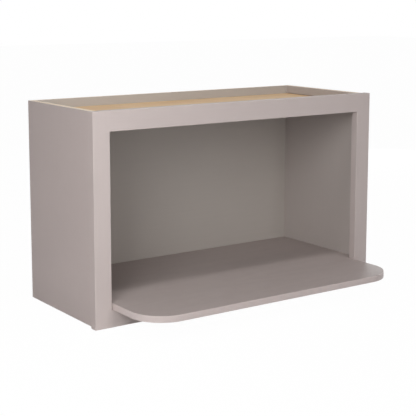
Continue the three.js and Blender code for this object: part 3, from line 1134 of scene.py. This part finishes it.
@dataclass
class Screws:
    """All screws of the cabinet, and the node tree that models them.

    The lip and the shank's start are shares of the head's depth, and the point is one of the shank's radius.
    """

    recess_length: float = 4.4 * MM
    recess_width: float = 0.9 * MM
    recess_depth: float = 1.6 * MM
    thread_pitch: float = 2.4 * MM
    thread_depth: float = 0.45 * MM
    point_length: float = 4 * MM
    point_share: float = 0.06
    head_sides: int = 24
    lip_share: float = 0.35
    shank_sides: int = 12
    shank_rings: int = 72
    shank_start_share: float = 0.8
    row_count: int = 3
    pair_count: int = 2
    shelf_screw_open: float = 20 * MM
    pocket_tilt: float = math.radians(15)
    pocket_seat: float = 19 * MM
    pocket_open: float = 40 * MM
    pocket_length: float = 31 * MM
    sets: dict[str, list[Screw]] = field(default_factory=dict)

    def __post_init__(self) -> None:
        """Places every screw by its solid, in sets that share a direction and a length."""
        row, pair = self.row_count, self.pair_count
        edge = numbered("back_top_screw", row) + numbered("back_shelf_screw", row)
        for side in Side:
            edge += numbered(f"back_{side.label}_screw", row)
        self._flat_set("back_edge_screws", edge, FORWARD)
        rails = numbered("upper_rail_screw", row) + numbered("lower_rail_screw", row)
        self._flat_set("back_rail_screws", rails, FORWARD)
        up, down = [], []
        for side in Side:
            stem = side.label
            cleat = numbered(f"{stem}_cleat_side_screw", pair)
            self._flat_set(f"{stem}_cleat_side_screws", cleat, side.outward)
            pockets = []
            for rail in ("top", "bottom"):
                pockets += numbered(f"frame_screw_{rail}_{stem}", pair)
            self.sets[f"{stem}_frame_screws"] = [self._pocket(node, side) for node in pockets]
            up += numbered(f"{stem}_cleat_shelf_screw", pair)
            down.append(f"{stem}_corner_block_screw")
        self._flat_set("cleat_shelf_screws", up, UP)
        self._flat_set("corner_block_screws", down, DOWN)
        shelf = [Screw.of(node, Head.PAN, UP, self.shelf_screw_open) for node in numbered("shelf_screw", row)]
        self.sets["shelf_rail_screws"] = shelf

    def _flat_set(self, name: str, nodes: Iterable[str], way: Sequence[float]) -> None:
        """Adds a set of flat-headed screws, which take their places from their solids."""
        self.sets[name] = [Screw.of(node, Head.FLAT, way) for node in nodes]

    def _pocket(self, node: str, side: Side) -> Screw:
        """Works out a slanted pocket screw, which is driven from a rail into a stile.

        Args:
            node: The name of its solid, which gives its height.
            side: The side of the cabinet.

        Returns:
            The screw.
        """
        low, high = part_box(f"{side.label}_stile")
        joint = low.x if side is Side.RIGHT else high.x
        lean = Vector((side.value * math.cos(self.pocket_tilt), -math.sin(self.pocket_tilt), 0))
        level = sum(corner.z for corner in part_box(node)) / 2
        at = Vector((joint, (low.y + high.y) / 2, level)) - lean * self.pocket_seat
        return Screw(node, Head.PAN, at, lean, self.pocket_length, self.pocket_open)

    def holes_in(self, box: Box) -> Shape | None:
        """The holes of every screw that reaches a board, in one mesh, or None where there are none."""
        found = [screw.hole() for group in self.sets.values() for screw in group if screw.reaches(box)]
        return merged(found) if found else None

    def _tree(self) -> Tree:
        """Builds the node tree that sets a threaded, cross-headed screw on each point.

        Returns:
            The tree.
        """
        sizes = ("Head Top", "Head Rim", "Head Under", "Head Depth", "Shank", "Length")
        sizes += ("Recess Length", "Recess Width", "Recess Depth", "Thread Pitch", "Thread Depth")
        tree = geometry_tree("Cross-Head Screws", sizes, {"Way": "Vector"})
        wires = Wiring(tree)
        given = wires.add("NodeGroupInput").outputs
        parts = (self._head(wires, given), self._shank(wires, given))
        whole = wires.add("GeometryNodeJoinGeometry")
        for part in parts:
            wires.join(whole, 0, part)
        turn = wires.add("FunctionNodeAlignRotationToVector", {"Vector": given["Way"]}, axis="Z")
        feeds = {"Points": given["Geometry"], "Instance": whole.outputs[0], "Rotation": turn.outputs[0]}
        end_tree(wires, given, wires.add("GeometryNodeInstanceOnPoints", feeds).outputs[0])
        return tree

    def _cone(self, wires: Wiring, near: Socket, far: Socket, depth: Socket) -> Node:
        """Adds a closed cone between two radii."""
        feeds = {"Vertices": self.head_sides, "Radius Bottom": near, "Radius Top": far, "Depth": depth}
        return wires.add("GeometryNodeMeshCone", feeds, fill_type="NGON")

    def _head(self, wires: Wiring, given: Sockets) -> Socket:
        """Adds the head, whose top lies at zero, with its cross recess.

        Args:
            wires: The tree's wiring.
            given: The tree's inputs.

        Returns:
            The head's geometry.
        """
        lip = wires.math("MULTIPLY", given["Head Depth"], self.lip_share)
        rest = wires.math("SUBTRACT", given["Head Depth"], lip)
        crown = self._cone(wires, given["Head Top"], given["Head Rim"], lip)
        cone = self._cone(wires, given["Head Rim"], given["Head Under"], rest)
        lift = wires.add("ShaderNodeCombineXYZ", {"Z": lip}).outputs[0]
        lower = wires.add("GeometryNodeTransform", {"Geometry": cone.outputs[0], "Translation": lift})
        head = wires.add("GeometryNodeMeshBoolean", operation="UNION", solver="EXACT")
        for part in (crown, lower):
            wires.join(head, 1, part.outputs[0])
        cut = wires.add("GeometryNodeMeshBoolean", operation="DIFFERENCE", solver="EXACT")
        wires.join(cut, 0, head.outputs[0])
        depth = wires.math("MULTIPLY", given["Recess Depth"], 2.0)
        length, width = given["Recess Length"], given["Recess Width"]
        for x, y in ((length, width), (width, length)):
            size = wires.add("ShaderNodeCombineXYZ", {"X": x, "Y": y, "Z": depth}).outputs[0]
            wires.join(cut, 1, wires.add("GeometryNodeMeshCube", {"Size": size}).outputs[0])
        return cut.outputs[0]

    def _shank(self, wires: Wiring, given: Sockets) -> Socket:
        """Adds the threaded shank from under the head to the point.

        Args:
            wires: The tree's wiring.
            given: The tree's inputs.

        Returns:
            The shank's geometry.
        """
        start = wires.math("MULTIPLY", given["Head Depth"], self.shank_start_share)
        depth = wires.math("SUBTRACT", given["Length"], start)
        sizes = {"Vertices": self.shank_sides, "Side Segments": self.shank_rings}
        feeds = {**sizes, "Radius": given["Shank"], "Depth": depth}
        rod = wires.add("GeometryNodeMeshCylinder", feeds, fill_type="TRIANGLE_FAN")
        middle = wires.math("MULTIPLY_ADD", depth, 0.5, start)
        lift = wires.add("ShaderNodeCombineXYZ", {"Z": middle}).outputs[0]
        placed = wires.add("GeometryNodeTransform", {"Geometry": rod.outputs[0], "Translation": lift})
        spot = wires.add("GeometryNodeInputPosition").outputs[0]
        x, y, z = wires.add("ShaderNodeSeparateXYZ", {0: spot}).outputs
        turn = wires.math("DIVIDE", wires.math("ARCTAN2", y, x), math.tau)
        place = wires.math("SUBTRACT", wires.math("DIVIDE", z, given["Thread Pitch"]), turn)
        cosine = wires.math("COSINE", wires.math("MULTIPLY", place, math.tau))
        wave = wires.math("MULTIPLY_ADD", cosine, 0.5, -0.5)
        ridge = wires.math("MULTIPLY", wave, wires.math("DIVIDE", given["Thread Depth"], given["Shank"]))
        left = wires.math("DIVIDE", wires.math("SUBTRACT", given["Length"], z), self.point_length)
        taper = wires.math("MAXIMUM", wires.math("MINIMUM", left, 1.0), self.point_share)
        size = wires.math("MULTIPLY", wires.math("ADD", ridge, 1.0), taper)
        across = wires.add("ShaderNodeCombineXYZ", {"X": size, "Y": size, "Z": 1.0}).outputs[0]
        spread = wires.add("ShaderNodeVectorMath", {0: spot, 1: across}, operation="MULTIPLY")
        feeds = {"Geometry": placed.outputs[0], "Position": spread.outputs[0]}
        return wires.add("GeometryNodeSetPosition", feeds).outputs[0]

    def build(self, finishes: Finishes) -> list[Piece]:
        """Makes one piece for each set of screws."""
        tree = self._tree()
        return [self._dressed(tree, name, finishes.zinc) for name in self.sets]

    def _dressed(self, tree: Tree, name: str, zinc: Finish) -> Piece:
        """Runs the node tree on the places of one set.

        Args:
            tree: The node tree.
            name: The set's name, which the piece takes over.
            zinc: The screws' material.

        Returns:
            The finished piece.
        """
        group = self.sets[name]
        points = bmesh.new()
        for screw in group:
            points.verts.new(screw.at)
        piece = Solids.object_of(points, name)
        shape = group[0].kind.value
        values = {
            "Head Top": shape.top,
            "Head Rim": shape.rim,
            "Head Under": shape.under,
            "Head Depth": shape.depth,
            "Shank": shape.shank,
            "Length": group[0].length,
            "Recess Length": self.recess_length,
            "Recess Width": self.recess_width,
            "Recess Depth": self.recess_depth,
            "Thread Pitch": self.thread_pitch,
            "Thread Depth": self.thread_depth,
            "Way": tuple(group[0].way),
            "Material": zinc,
        }
        run_tree(piece, tree, values)
        present(piece, [screw.node for screw in group])
        return piece


def run_tree(piece: Piece, tree: Tree, values: dict[str, object]) -> None:
    """Runs a geometry node tree on an object and keeps the result as its plain mesh.

    Args:
        piece: The object whose mesh is the tree's input.
        tree: The node tree.
        values: Input name against its value.
    """
    modifier = piece.modifiers.new("shape", "NODES")
    modifier.node_group = tree
    sockets = [item for item in tree.interface.items_tree if item.item_type == "SOCKET"]
    keys = {socket.name: socket.identifier for socket in sockets if socket.in_out == "INPUT"}
    for title, value in values.items():
        modifier[keys[title]] = value
    keep_result(piece)


# ---------------------------------------------------------------------------
# Sub-assemblies
# ---------------------------------------------------------------------------


@dataclass
class Assembly:
    """A group of boards, with the screws that go through them and the finishes they get."""

    screws: Screws
    finishes: Finishes

    def plank(self, node: str, slot: str, finishes: Sequence[Finish], ease: float, **rest: object) -> Piece:
        """Makes a board in the place of its solid, with eased edges and all else as finished takes it."""
        return self.finished(Solids.board(*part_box(node), ease), node, slot, finishes, **rest)

    def finished(
        self,
        built: Shape,
        node: str,
        slot: str,
        finishes: Sequence[Finish],
        joints: Iterable[Shape] = (),
        zones: Iterable[tuple[Zone, Sequence[Triple]]] = (),
    ) -> Piece:
        """Turns a shape into a piece with its joints and screw holes cut.

        Args:
            built: The shape.
            node: The name of the solid whose place it takes.
            slot: The record's material slot; not used.
            finishes: Its materials, in the order of Zone.
            joints: Shapes to cut out of it.
            zones: Directions in which flat faces look, against the material slot that they get.

        Returns:
            The finished piece.
        """
        piece = Solids.object_of(built, f"{node}_board")
        for material in finishes:
            piece.data.materials.append(material)
        raw = Zone(min(Zone.EDGE, len(finishes) - 1))
        Solids.cut(piece, joints, raw)
        holes = self.screws.holes_in(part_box(node))
        if holes:
            Solids.cut(piece, [holes], raw)
        for zone, ways in zones:
            zone_faces(piece, zone, ways)
        present(piece, [node])
        return piece


def zone_faces(piece: Piece, zone: Zone, ways: Sequence[Triple]) -> None:
    """Gives the flat faces that look in certain directions another material slot.

    Args:
        piece: The piece.
        zone: The slot.
        ways: The directions.
    """
    for face in piece.data.polygons:
        if any(face.normal.dot(Vector(way)) > FACING for way in ways):
            face.material_index = zone


@dataclass
class Carcase(Assembly):
    """The box behind the face frame: sides, back, top, hanging rails and corner blocks."""

    ease: float = 0.5 * MM
    sawn_ease: float = 0.3 * MM
    slack: float = 0.3 * MM
    room_above_top: float = 1.8 * MM
    top_groove: float = 6 * MM
    back_step: float = 8 * MM
    run_out: float = 5 * MM
    blunt_tip: float = 1 * MM

    def build(self) -> list[Piece]:
        """Makes every piece of the carcase.

        Returns:
            The finished pieces.
        """
        paint, birch = self.finishes.inner_paint[Grain.ALONG_X], self.finishes.birch[Grain.ALONG_X]
        maple, veneer = self.finishes.maple, self.finishes.veneer
        pieces = [self._side_panel(side) for side in Side]
        pieces.append(self._panel("top_panel", "maple_ply", Across.Z, (maple, paint), DOWN))
        pieces.append(self._panel("back_panel", "taupe_paint", Across.Y, (paint, veneer), BACKWARD))
        pieces.append(self.plank("upper_hanging_rail", "taupe_paint", (paint, birch), self.ease))
        pieces.append(self.plank("lower_hanging_rail", "raw_birch", (birch, birch), self.ease))
        return pieces + [self._corner_block(side) for side in Side]

    def _plies(self, node: str, across: Across) -> Finish:
        """The sawn edges of one panel, whose layers start at its lowest corner."""
        return self.finishes.ply_edge(node.replace("_panel", "_plies"), across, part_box(node)[0][across])

    def _side_panel(self, side: Side) -> Piece:
        """Makes a side panel with its groove for the top and its step for the back.

        Args:
            side: The side of the cabinet.

        Returns:
            The finished panel.
        """
        node = f"{side.label}_side_panel"
        low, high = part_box(node)
        top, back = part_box("top_panel"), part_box("back_panel")
        inner = high.x if side is Side.LEFT else low.x
        past = self.run_out

        def slab(reach: float, near: Sequence[float], far: Sequence[float]) -> Shape:
            """A cutter that goes into the inner face by a reach, between two corners in Y and Z."""
            first, last = sorted((inner - side.value * past, inner + side.value * reach))
            return Solids.board((first, *near), (last, *far))

        over = top[1].z + self.room_above_top
        groove = slab(self.top_groove, (low.y - past, top[0].z - self.slack), (high.y + past, over))
        step = slab(self.back_step, (back[0].y - self.slack, low.z - past), (high.y + past, high.z + past))
        outer_paint, inner_paint = self.finishes.outer_paint, self.finishes.inner_paint[Grain.ALONG_Z]
        finishes = (outer_paint, self._plies(node, Across.X), inner_paint)
        zones = ((Zone.EDGE, (UP, DOWN, BACKWARD)), (Zone.BACK, (side.inward,)))
        return self.plank(node, "taupe_paint", finishes, self.ease, joints=(groove, step), zones=zones)

    def _panel(self, node: str, slot: str, across: Across, faces: Sequence[Finish], back: Triple) -> Piece:
        """Makes a panel with sawn edges and a different finish on each face.

        Args:
            node: The solid's name.
            slot: The record's material slot.
            across: The direction in which its layers are stacked.
            faces: The material of its front or top, and that of the other face.
            back: The direction in which the other face looks.

        Returns:
            The finished panel.
        """
        edges = [way for way in DIRECTIONS if not way[across]]
        finishes = (faces[0], self._plies(node, across), faces[1])
        zones = ((Zone.EDGE, edges), (Zone.BACK, (back,)))
        return self.plank(node, slot, finishes, self.sawn_ease, zones=zones)

    def _corner_block(self, side: Side) -> Piece:
        """Makes a three-cornered glue block.

        Args:
            side: The side of the cabinet.

        Returns:
            The finished block.
        """
        node = f"{side.label}_corner_block"
        low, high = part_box(node)
        wall, free = (high.x, low.x) if side is Side.RIGHT else (low.x, high.x)
        tip = self.blunt_tip
        outline = [(wall, low.y), (wall, high.y - tip), (wall - side.value * tip, high.y - tip)]
        outline += [(free + side.value * tip, low.y + tip), (free + side.value * tip, low.y)]
        built = Solids.prism(outline, low.z, high.z, self.sawn_ease)
        return self.finished(built, node, "raw_birch", (self.finishes.birch[Grain.ALONG_X],))


@dataclass
class FaceFrame(Assembly):
    """The painted hardwood frame in front: two stiles between which the rails sit."""

    ease: float = 0.7 * MM
    seam: float = 0.02 * MM
    groove_depth: float = 6 * MM
    slack: float = 0.3 * MM
    butt_room: Triple = (0.6 * MM, 0.3 * MM, 0.3 * MM)
    run_out: float = 5 * MM

    def build(self) -> list[Piece]:
        """Makes the stiles and the rails."""
        return [self._stile(side) for side in Side] + [self._rail("top"), self._rail("bottom")]

    def _butts(self) -> list[Box]:
        """Finds where the rails butt against the stiles.

        Returns:
            A box round each place, with a little room.
        """
        room = Vector(self.butt_room)
        places = []
        for low, high in (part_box("top_rail"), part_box("bottom_rail")):
            for x in (low.x, high.x):
                places.append((Vector((x, low.y, low.z)) - room, Vector((x, high.y, high.z)) + room))
        return places

    def _stile(self, side: Side) -> Piece:
        """Makes a stile with the groove that holds its side panel.

        Args:
            side: The side of the cabinet.

        Returns:
            The finished stile.
        """
        node = f"{side.label}_stile"
        low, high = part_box(node)
        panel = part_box(f"{side.label}_side_panel")
        past = self.run_out
        groove = Solids.board(
            (panel[0].x - self.slack, high.y - self.groove_depth, low.z - past),
            (panel[1].x + self.slack, high.y + past, high.z + past),
        )
        levels = (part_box("bottom_rail")[1].z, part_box("top_rail")[0].z)
        built = Solids.board(low, high, self.ease, levels, self._butts())
        frame_paint, outer_paint = self.finishes.frame_paint[Grain.ALONG_Z], self.finishes.outer_paint
        finishes = (frame_paint, self.finishes.birch[Grain.ALONG_Z], outer_paint)
        # Painted shade: the stile's outward face takes the side panels' darker paint instead of the lit frame
        # paint, so it reads as dark as the cabinet's side beside it.
        zones = ((Zone.BACK, (side.outward,)),)
        return self.finished(built, node, "taupe_paint", finishes, (groove,), zones)

    def _rail(self, level: str) -> Piece:
        """Makes a rail that reaches the stiles, with paint over the closed seams.

        Args:
            level: The word that starts its solid's name.

        Returns:
            The finished rail.
        """
        node = f"{level}_rail"
        low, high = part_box(node)
        low.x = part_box("left_stile")[1].x + self.seam
        high.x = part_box("right_stile")[0].x - self.seam
        built = Solids.board(low, high, self.ease, (), self._butts())
        # Painted light: the rail takes the frame's lighter lit paint.
        finishes = (self.finishes.frame_paint[Grain.ALONG_X], self.finishes.birch[Grain.ALONG_X])
        return self.finished(built, node, "taupe_paint", finishes)


@dataclass
class MicrowaveShelf(Assembly):
    """The deep shelf with its glued edge strip and the cleats that carry it."""

    corner_radius: float = 76 * MM
    corner_steps: int = 28
    strip: float = 1.0 * MM
    glue_line: float = 0.06 * MM
    strip_ease: float = 0.45 * MM
    strip_ease_steps: int = 4
    board_ease: float = 0.12 * MM
    cleat_ease: float = 0.8 * MM
    notch_gap: float = 2.5 * MM

    def build(self) -> list[Piece]:
        """Makes the shelf, its strip and the cleats.

        Returns:
            The finished pieces.
        """
        birch = (self.finishes.birch[Grain.ALONG_Y],)
        cleats = [f"{side.label}_shelf_cleat" for side in Side]
        pieces = [self._board(), self._edge_strip()]
        return pieces + [self.plank(node, "raw_birch", birch, self.cleat_ease) for node in cleats]

    def _rim(self, inset: float, back: float) -> list[tuple[float, float]]:
        """The line round the shelf's left side, rounded front and right side.

        Args:
            inset: How far the line lies inside the outer one.
            back: Where its two ends lie, front to back.

        Returns:
            Points in X and Y, from the left end to the right end.
        """
        low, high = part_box("shelf_edge_band")
        radius = self.corner_radius - inset
        left, right, front = low.x + inset, high.x - inset, low.y + inset
        points = [(left, back)]
        for centre, start in ((left + radius, math.pi), (right - radius, math.pi * 1.5)):
            for step in range(self.corner_steps + 1):
                turn = start + math.pi / 2 * step / self.corner_steps
                points.append((centre + radius * math.cos(turn), front + radius + radius * math.sin(turn)))
        return points + [(right, back)]

    def _board(self) -> Piece:
        """Makes the shelf board, which widens behind the stiles.

        Returns:
            The finished board.
        """
        low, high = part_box("microwave_shelf")
        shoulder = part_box("left_stile")[1].y + self.notch_gap
        outline = self._rim(self.strip + self.glue_line, shoulder)
        outline += [(high.x, shoulder), (high.x, high.y), (low.x, high.y), (low.x, shoulder)]
        built = Solids.prism(outline, low.z, high.z, self.board_ease)
        # Painted shade: the shelf board takes the darker shelf paint.
        finishes = (self.finishes.shelf_paint, self.finishes.birch[Grain.ALONG_X])
        return self.finished(built, "microwave_shelf", "taupe_paint", finishes)

    def _strip_tree(self) -> Tree:
        """Builds the node tree that runs an eased strip along a line.

        Returns:
            The tree.
        """
        tree = geometry_tree("Edge Strip", ("Thickness", "Height", "Ease"), {})
        wires = Wiring(tree)
        given = wires.add("NodeGroupInput").outputs
        path = wires.add("GeometryNodeMeshToCurve", {0: given["Geometry"]})
        level = wires.add("GeometryNodeSetCurveNormal", {"Curve": path.outputs[0]}, mode="Z_UP")
        sizes = {"Width": given["Thickness"], "Height": given["Height"]}
        section = wires.add("GeometryNodeCurvePrimitiveQuadrilateral", sizes, mode="RECTANGLE")
        feeds = {"Curve": section.outputs[0], "Radius": given["Ease"], "Limit Radius": True}
        eased = wires.add("GeometryNodeFilletCurve", {**feeds, "Count": self.strip_ease_steps}, mode="POLY")
        feeds = {"Curve": level.outputs[0], "Profile Curve": eased.outputs[0], "Fill Caps": True}
        end_tree(wires, given, wires.add("GeometryNodeCurveToMesh", feeds).outputs[0])
        return tree

    def _edge_strip(self) -> Piece:
        """Runs the strip along the shelf's rim.

        Returns:
            The finished strip.
        """
        low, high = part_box("shelf_edge_band")
        line = bmesh.new()
        points = [line.verts.new((x, y, (low.z + high.z) / 2)) for x, y in self._rim(self.strip / 2, high.y)]
        for near, far in zip(points, points[1:]):
            line.edges.new((near, far))
        piece = Solids.object_of(line, "shelf_edge_strip")
        values = {
            "Thickness": self.strip,
            "Height": high.z - low.z,
            "Ease": self.strip_ease,
            "Material": self.finishes.edge_strip,
        }
        run_tree(piece, self._strip_tree(), values)
        built = bmesh.new()
        built.from_mesh(piece.data)
        bmesh.ops.recalc_face_normals(built, faces=built.faces)
        built.to_mesh(piece.data)
        built.free()
        present(piece, ["shelf_edge_band"])
        return piece


# ---------------------------------------------------------------------------
# Studio
# ---------------------------------------------------------------------------


@dataclass(frozen=True)
class Softbox:
    """A flat lamp that looks at a point and isn't seen itself."""

    name: str
    at: Triple
    power: float
    towards: Triple = (0.0, 0.0, 0.22)
    size: tuple[float, float] = (1.30, 1.30)
    colour: Triple = (1.0, 1.0, 1.0)

    def build(self) -> None:
        """Makes the lamp."""
        lamp = bpy.data.lights.new(self.name, "AREA")
        lamp.shape = "RECTANGLE"
        lamp.size, lamp.size_y = self.size
        lamp.energy = self.power
        lamp.color = self.colour
        made = in_scene(self.name, lamp)
        made.location = self.at
        way = Vector(self.towards) - Vector(self.at)
        made.rotation_euler = way.to_track_quat("-Z", "Y").to_euler()
        made.visible_camera = False


@dataclass
class Studio:
    """The floor, the plain soft light and the camera."""

    PINKISH = (1.0, 0.985, 0.985)
    GREENISH = (0.985, 1.0, 0.995)

    eye: Triple = (-1.44565, -1.99877, 0.6893)
    yaw: float = 35.085
    pitch: float = 8.487
    roll: float = 0.059
    lens: float = 94.192
    sensor_width: float = 36.0
    shift_y: float = -0.12
    surround: float = 0.10
    floor_size: float = 12.0
    floor_gap: float = 0.2 * MM
    floor_colour: Colour = (0.9, 0.9, 0.9, 1.0)
    floor_glow: float = 0.985
    lamps: tuple[Softbox, ...] = (
        Softbox("overhead_strip", (0.0, -0.42, 1.95), 9.0, (0.0, -0.05, 0.40), (1.10, 0.16)),
        Softbox("near_left_box", (-1.223, -0.787, 0.75), 9.3, (-0.38, -0.08, 0.22), (0.60, 0.60), GREENISH),
        Softbox("left_box", (-1.666, -1.666, 1.319), 7.5),
        Softbox("front_low_box", (0.0, -2.56, 0.67), 7.1, colour=PINKISH),
        Softbox("front_high_box", (0.0, -2.13, 1.711), 8.5, colour=PINKISH),
        Softbox("rear_low_box", (1.60, 1.90, 0.22), 18.0, size=(1.30, 0.40)),
        Softbox("right_low_box", (2.10, 0.45, 0.14), 6.0, (0.38, 0.10, 0.20), (0.90, 0.26)),
    )

    def build(self) -> None:
        """Makes the floor, the surroundings, the lamps and the camera."""
        self._floor()
        self._world()
        for lamp in self.lamps:
            lamp.build()
        self._camera()

    def _floor(self) -> None:
        """Lays a floor that is almost pure glow where it is seen, and matt for every other ray."""
        built = bmesh.new()
        bmesh.ops.create_grid(built, x_segments=1, y_segments=1, size=self.floor_size)
        for vertex in built.verts:
            vertex.co.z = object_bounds()[0].z - self.floor_gap
        floor = Solids.object_of(built, "studio_floor")
        material = bpy.data.materials.new("studio_floor")
        wires = fresh_wiring(material)
        matt = wires.add("ShaderNodeBsdfDiffuse", {"Color": self.floor_colour})
        glow = wires.add("ShaderNodeEmission", {"Color": WHITE, "Strength": 1.0})
        share = wires.math("MULTIPLY", seen_directly(wires), self.floor_glow)
        blend = wires.add("ShaderNodeMixShader", {0: share, 1: matt.outputs[0], 2: glow.outputs[0]})
        wires.add("ShaderNodeOutputMaterial", {"Surface": blend.outputs[0]})
        floor.data.materials.append(material)
        floor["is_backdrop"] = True

    def _world(self) -> None:
        """Surrounds the object with soft light, and with white where it is seen."""
        world = bpy.data.worlds.new("studio")
        wires = fresh_wiring(world)
        soft = wires.add("ShaderNodeBackground", {"Color": WHITE, "Strength": self.surround})
        white = wires.add("ShaderNodeBackground", {"Color": WHITE, "Strength": 1.0})
        feeds = {0: seen_directly(wires), 1: soft.outputs[0], 2: white.outputs[0]}
        blend = wires.add("ShaderNodeMixShader", feeds)
        wires.add("ShaderNodeOutputWorld", {"Surface": blend.outputs[0]})
        bpy.context.scene.world = world

    def _camera(self) -> None:
        """Sets up the camera at the photograph's angle."""
        yaw, pitch, roll = (math.radians(angle) for angle in (self.yaw, self.pitch, self.roll))
        ahead = Vector((math.sin(yaw) * math.cos(pitch), math.cos(yaw) * math.cos(pitch), -math.sin(pitch)))
        level = Vector((math.cos(yaw), -math.sin(yaw), 0.0))
        upright = level.cross(ahead)
        right = math.cos(roll) * level + math.sin(roll) * upright
        up = -math.sin(roll) * level + math.cos(roll) * upright
        data = bpy.data.cameras.new("camera")
        data.lens = self.lens
        data.sensor_width = self.sensor_width
        data.shift_y = self.shift_y
        camera = in_scene("camera", data)
        camera.matrix_world = Matrix.Translation(self.eye) @ Matrix((right, up, -ahead)).transposed().to_4x4()
        scene = bpy.context.scene
        scene.camera = camera
        scene.view_settings.view_transform = "Standard"


def seen_directly(wires: Wiring) -> Socket:
    """A mask for rays from the camera, from mirrors and through glass.

    Args:
        wires: The tree's wiring.

    Returns:
        The mask's socket, 0 or 1.
    """
    path = wires.add("ShaderNodeLightPath").outputs
    either = wires.math("ADD", path["Is Camera Ray"], path["Is Glossy Ray"])
    return wires.math("ADD", either, path["Is Transmission Ray"], clamp=True)


def main() -> None:
    """Builds the cabinet and its studio, and reports each piece."""
    logging.basicConfig(level=logging.INFO, format="%(message)s")
    finishes = Finishes(Effects())
    screws = Screws()
    for assembly in (Carcase, FaceFrame, MicrowaveShelf):
        made = assembly(screws, finishes).build()
        LOG.info("%s: %d pieces", assembly.__name__, len(made))
    LOG.info("Screws: %d pieces", len(screws.build(finishes)))
    Studio().build()


if __name__ == "__main__":
    main()
